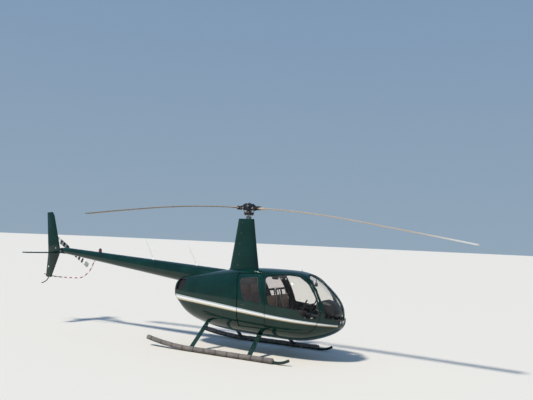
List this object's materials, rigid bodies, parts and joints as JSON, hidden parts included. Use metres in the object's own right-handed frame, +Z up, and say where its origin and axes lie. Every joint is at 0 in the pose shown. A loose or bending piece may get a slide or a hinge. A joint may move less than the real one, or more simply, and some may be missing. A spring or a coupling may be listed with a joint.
{
  "type": "four-seat light helicopter on skids",
  "caption": "Light piston helicopter on float-equipped skids, with teetering main rotor, tall mast fairing, tail boom, tail rotor and hinged cabin doors.",
  "frame": {"origin": "on the ground, midway between the ends of the whole helicopter along X and on its centre plane; the rotor mast stands at x = 0.850 m", "axes": "+X towards the nose, +Y towards the left side, +Z up"},
  "size_m": [11.7597, 2.288, 3.27],
  "materials": {
    "body_paint": "dark green gloss paint with a white side stripe",
    "dark_metal": "dark grey satin",
    "bare_metal": "dull bare metal",
    "black_trim": "matt black",
    "aerial_white": "white",
    "blade_grey": "dark grey-brown satin",
    "blade_sand": "pale sand satin",
    "tail_blade": "grey with white and black bands",
    "float_cover": "coated cloth cover",
    "seat_leather": "brown leather",
    "glazing": "clear acrylic",
    "beacon_red": "red lens",
    "guard_bands": "red and white bands"
  },
  "bodies": {
    "airframe": {"skid_right": "body_paint", "float_right": "float_cover", "skid_left": "body_paint", "float_left": "float_cover", "front_cross_tube": "body_paint", "rear_cross_tube": "body_paint", "lower_fuselage": "body_paint", "cabin_floor": "black_trim", "rear_cabin_wall": "black_trim", "windshield_frame": "body_paint", "windshield_right": "glazing", "windshield_left": "glazing", "roof": "body_paint", "door_post_right": "body_paint", "door_post_left": "body_paint", "mast_deck": "body_paint", "side_cowl_right": "body_paint", "side_cowl_left": "body_paint", "vent_louvre_right": "black_trim", "vent_louvre_left": "black_trim", "engine_block": "dark_metal", "exhaust": "bare_metal", "front_cushion_right": "seat_leather", "front_cushion_left": "seat_leather", "rear_cushion_right": "seat_leather", "rear_cushion_left": "seat_leather", "front_seat_back_right": "seat_leather", "front_seat_back_left": "seat_leather", "rear_seat_back_right": "seat_leather", "rear_seat_back_left": "seat_leather", "instrument_console": "black_trim", "cyclic_stick": "dark_metal", "mast_fairing": "body_paint", "mast_tube": "dark_metal", "tail_boom": "body_paint", "aerial_front": "aerial_white", "aerial_rear": "aerial_white", "beacon": "beacon_red", "tail_gearbox": "dark_metal", "fin": "body_paint", "stabilizer": "body_paint", "tail_skid": "dark_metal", "tail_guard": "guard_bands"},
    "front_door_right_body": {"front_door_right": "body_paint", "front_window_right": "glazing"},
    "rear_door_right_body": {"rear_door_right": "body_paint", "rear_window_right": "glazing"},
    "front_door_left_body": {"front_door_left": "body_paint", "front_window_left": "glazing"},
    "rear_door_left_body": {"rear_door_left": "body_paint", "rear_window_left": "glazing"},
    "main_rotor": {"rotor_head": "dark_metal", "blade_fore": "blade_sand", "blade_aft": "blade_grey"},
    "tail_rotor_body": {"tail_rotor": "tail_blade"}
  },
  "joints": [
    {"name": "main_rotor_spin", "type": "hinge", "parent": "airframe", "child": "main_rotor", "pos_m": [0.85, 0, 3.15], "axis": [0, 0, 1], "continuous": true},
    {"name": "tail_rotor_spin", "type": "hinge", "parent": "airframe", "child": "tail_rotor_body", "pos_m": [-5.02, 0.35, 1.91], "axis": [0, 1, 0], "continuous": true},
    {"name": "front_door_right_hinge", "type": "hinge", "parent": "airframe", "child": "front_door_right_body", "pos_m": [2.9, -0.425, 0.85], "axis": [0, 0, 1], "range_deg": [0, 80]},
    {"name": "rear_door_right_hinge", "type": "hinge", "parent": "airframe", "child": "rear_door_right_body", "pos_m": [1.712, -0.648, 0.85], "axis": [0, 0, 1], "range_deg": [0, 80]},
    {"name": "front_door_left_hinge", "type": "hinge", "parent": "airframe", "child": "front_door_left_body", "pos_m": [2.9, 0.425, 0.85], "axis": [0, 0, -1], "range_deg": [0, 80]},
    {"name": "rear_door_left_hinge", "type": "hinge", "parent": "airframe", "child": "rear_door_left_body", "pos_m": [1.712, 0.648, 0.85], "axis": [0, 0, -1], "range_deg": [0, 80]}
  ],
  "couplings": [
    {"joint": "tail_rotor_spin", "follows": "main_rotor_spin", "ratio": -5.95}
  ]
}
